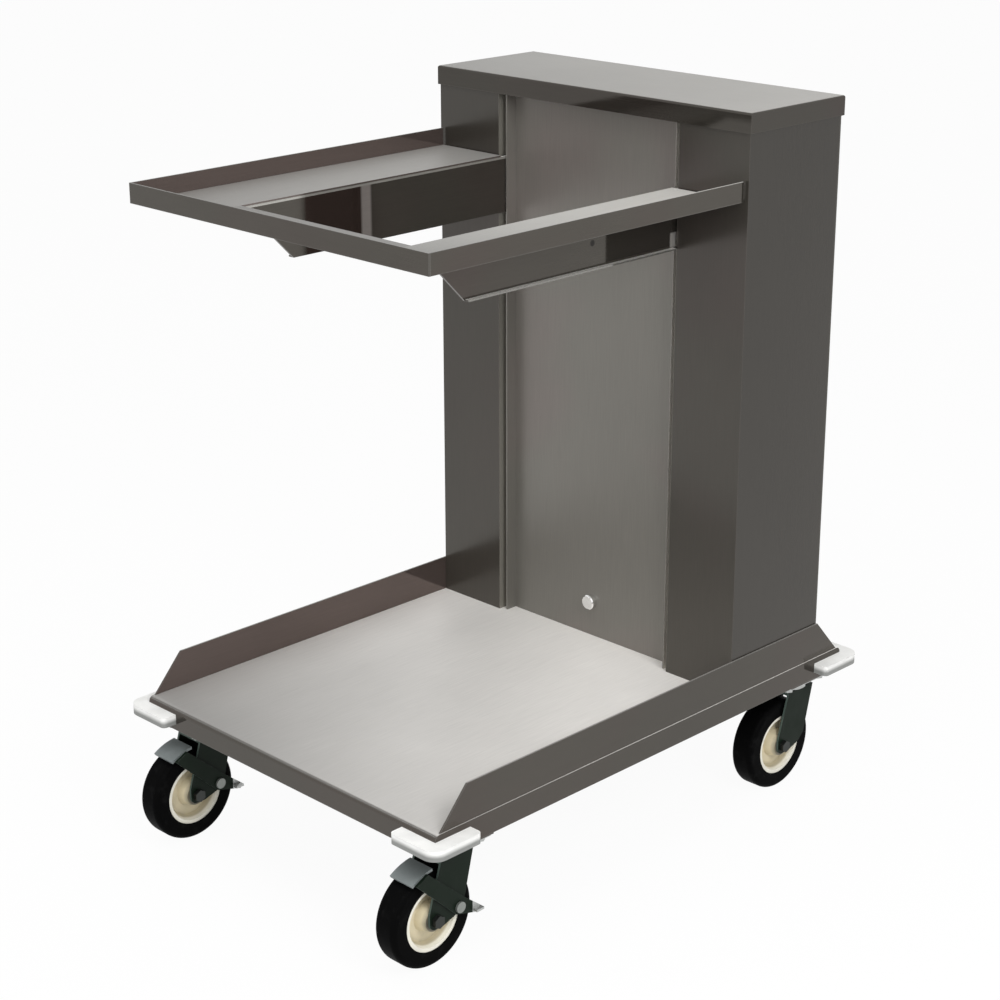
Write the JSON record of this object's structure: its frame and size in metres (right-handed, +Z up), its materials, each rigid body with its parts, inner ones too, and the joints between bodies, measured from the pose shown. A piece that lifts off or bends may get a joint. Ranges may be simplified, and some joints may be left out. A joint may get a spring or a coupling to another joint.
{
  "type": "mobile rack dispenser",
  "caption": "Mobile self-levelling rack dispenser: a sprung cantilever rack carriage rides in a slotted tower above a flanged deck on swivel casters with corner bumpers.",
  "frame": {"origin": "on the floor, under the middle of the cart's overall box", "axes": "+Z up; the open end of the deck faces -Y and the spring tower stands towards +Y; +X is to the right for someone who stands at the open end and looks at the tower"},
  "size_m": [0.58, 0.825, 0.9465],
  "materials": {
    "stainless": "polished satin",
    "panel_stainless": "satin",
    "bumper_vinyl": "soft satin",
    "tyre_rubber": "matt",
    "hub_plastic": "moulded",
    "fork_paint": "semi-gloss",
    "zinc_plate": "zinc plated",
    "roller_nylon": "turned",
    "latch_chrome": "polished",
    "stop_rubber": "matt",
    "spring_steel": "oiled"
  },
  "bodies": {
    "cart_body": {"deck_pan": "stainless", "left_side_rail": "stainless", "right_side_rail": "stainless", "front_caster_channel": "stainless", "rear_caster_channel": "stainless", "front_left_bumper": "bumper_vinyl", "front_right_bumper": "bumper_vinyl", "rear_left_bumper": "bumper_vinyl", "rear_right_bumper": "bumper_vinyl", "tower_left_side": "stainless", "tower_right_side": "stainless", "tower_back_panel": "stainless", "back_panel_screws": "zinc_plate", "tower_front_panel": "panel_stainless", "panel_catch": "stainless", "tower_top_cap": "stainless", "left_guide_channel": "zinc_plate", "right_guide_channel": "zinc_plate", "spring_hanger_bar": "zinc_plate", "stop_bumpers": "stop_rubber", "lift_springs": "spring_steel", "caster_bolts": "zinc_plate", "front_left_caster_plate": "zinc_plate", "front_right_caster_plate": "zinc_plate", "rear_left_caster_plate": "zinc_plate", "rear_right_caster_plate": "zinc_plate"},
    "panel_latch": {"panel_latch": "latch_chrome"},
    "carriage": {"left_rack_ledge": "stainless", "right_rack_ledge": "stainless", "front_rack_ledge": "stainless", "left_arm": "stainless", "right_arm": "stainless", "spring_bar": "zinc_plate", "cross_tie": "zinc_plate", "roller_axles": "zinc_plate"},
    "left_upper_roller": {"left_upper_roller": "roller_nylon"},
    "left_lower_roller": {"left_lower_roller": "roller_nylon"},
    "right_upper_roller": {"right_upper_roller": "roller_nylon"},
    "right_lower_roller": {"right_lower_roller": "roller_nylon"},
    "front_left_swivel": {"front_left_fork": "fork_paint", "front_left_axle": "zinc_plate"},
    "front_left_wheel": {"front_left_hub": "hub_plastic", "front_left_tyre": "tyre_rubber"},
    "front_left_brake": {"front_left_brake_lever": "fork_paint", "front_left_brake_shoe": "zinc_plate"},
    "front_right_swivel": {"front_right_fork": "fork_paint", "front_right_axle": "zinc_plate"},
    "front_right_wheel": {"front_right_hub": "hub_plastic", "front_right_tyre": "tyre_rubber"},
    "front_right_brake": {"front_right_brake_lever": "fork_paint", "front_right_brake_shoe": "zinc_plate"},
    "rear_left_swivel": {"rear_left_fork": "fork_paint", "rear_left_axle": "zinc_plate"},
    "rear_left_wheel": {"rear_left_hub": "hub_plastic", "rear_left_tyre": "tyre_rubber"},
    "rear_right_swivel": {"rear_right_fork": "fork_paint", "rear_right_axle": "zinc_plate"},
    "rear_right_wheel": {"rear_right_hub": "hub_plastic", "rear_right_tyre": "tyre_rubber"}
  },
  "joints": [
    {"name": "carriage_lift", "type": "slide", "parent": "cart_body", "child": "carriage", "axis": [0, 0, 1], "range_m": [-0.48, 0], "stiffness_N_per_m": 900, "springref_m": 0.25, "deforming": ["lift_springs"]},
    {"name": "panel_latch_turn", "type": "hinge", "parent": "cart_body", "child": "panel_latch", "pos_m": [0, 0.1835, 0.2395], "axis": [0, 1, 0], "range_deg": [0, 90]},
    {"name": "left_upper_roller_roll", "type": "hinge", "parent": "carriage", "child": "left_upper_roller", "pos_m": [-0.168, 0.2505, 0.8685], "axis": [1, 0, 0], "continuous": true},
    {"name": "left_lower_roller_roll", "type": "hinge", "parent": "carriage", "child": "left_lower_roller", "pos_m": [-0.168, 0.2505, 0.7085], "axis": [1, 0, 0], "continuous": true},
    {"name": "right_upper_roller_roll", "type": "hinge", "parent": "carriage", "child": "right_upper_roller", "pos_m": [0.168, 0.2505, 0.8685], "axis": [1, 0, 0], "continuous": true},
    {"name": "right_lower_roller_roll", "type": "hinge", "parent": "carriage", "child": "right_lower_roller", "pos_m": [0.168, 0.2505, 0.7085], "axis": [1, 0, 0], "continuous": true},
    {"name": "front_left_swivel_turn", "type": "hinge", "parent": "cart_body", "child": "front_left_swivel", "pos_m": [-0.226, -0.3145, 0.155], "axis": [0, 0, 1], "continuous": true},
    {"name": "front_left_wheel_spin", "type": "hinge", "parent": "front_left_swivel", "child": "front_left_wheel", "pos_m": [-0.226, -0.349, 0.0635], "axis": [1, 0, 0], "continuous": true},
    {"name": "front_left_brake_press", "type": "hinge", "parent": "front_left_swivel", "child": "front_left_brake", "pos_m": [-0.226, -0.316, 0.0705], "axis": [1, 0, 0], "range_deg": [0, 7.8]},
    {"name": "front_right_swivel_turn", "type": "hinge", "parent": "cart_body", "child": "front_right_swivel", "pos_m": [0.226, -0.3145, 0.155], "axis": [0, 0, 1], "continuous": true},
    {"name": "front_right_wheel_spin", "type": "hinge", "parent": "front_right_swivel", "child": "front_right_wheel", "pos_m": [0.226, -0.349, 0.0635], "axis": [1, 0, 0], "continuous": true},
    {"name": "front_right_brake_press", "type": "hinge", "parent": "front_right_swivel", "child": "front_right_brake", "pos_m": [0.226, -0.316, 0.0705], "axis": [1, 0, 0], "range_deg": [0, 7.8]},
    {"name": "rear_left_swivel_turn", "type": "hinge", "parent": "cart_body", "child": "rear_left_swivel", "pos_m": [-0.226, 0.3375, 0.155], "axis": [0, 0, 1], "continuous": true},
    {"name": "rear_left_wheel_spin", "type": "hinge", "parent": "rear_left_swivel", "child": "rear_left_wheel", "pos_m": [-0.226, 0.303, 0.0635], "axis": [1, 0, 0], "continuous": true},
    {"name": "rear_right_swivel_turn", "type": "hinge", "parent": "cart_body", "child": "rear_right_swivel", "pos_m": [0.226, 0.3375, 0.155], "axis": [0, 0, 1], "continuous": true},
    {"name": "rear_right_wheel_spin", "type": "hinge", "parent": "rear_right_swivel", "child": "rear_right_wheel", "pos_m": [0.226, 0.303, 0.0635], "axis": [1, 0, 0], "continuous": true}
  ],
  "couplings": [
    {"joint": "left_upper_roller_roll", "follows": "carriage_lift", "rad_per_m": 62.5},
    {"joint": "left_lower_roller_roll", "follows": "carriage_lift", "rad_per_m": -62.5},
    {"joint": "right_upper_roller_roll", "follows": "carriage_lift", "rad_per_m": 62.5},
    {"joint": "right_lower_roller_roll", "follows": "carriage_lift", "rad_per_m": -62.5}
  ]
}
